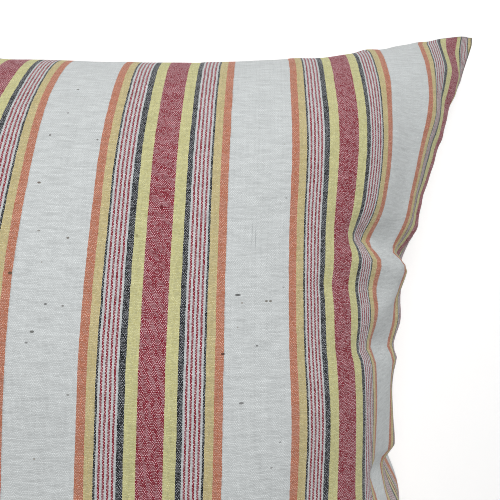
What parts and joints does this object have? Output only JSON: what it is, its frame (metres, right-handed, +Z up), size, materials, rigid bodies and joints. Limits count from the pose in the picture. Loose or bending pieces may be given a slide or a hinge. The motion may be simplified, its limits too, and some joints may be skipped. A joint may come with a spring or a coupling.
{
  "type": "cushion",
  "caption": "Plump square knife-edge cushion in striped handwoven cotton, lying on its back with drawn-in sides and dog-eared corners.",
  "frame": {"origin": "on the surface that the cushion lies on, under the middle of its bounding box", "axes": "+Z up out of the front face, +Y along the stripes, +X across the stripes"},
  "size_m": [0.505, 0.4974, 0.1793],
  "materials": {
    "striped_cotton": "matt handwoven cotton, off-white with groups of orange, tan, yellow, red and black warp stripes"
  },
  "bodies": {
    "root": {"cushion": "striped_cotton"}
  },
  "joints": []
}
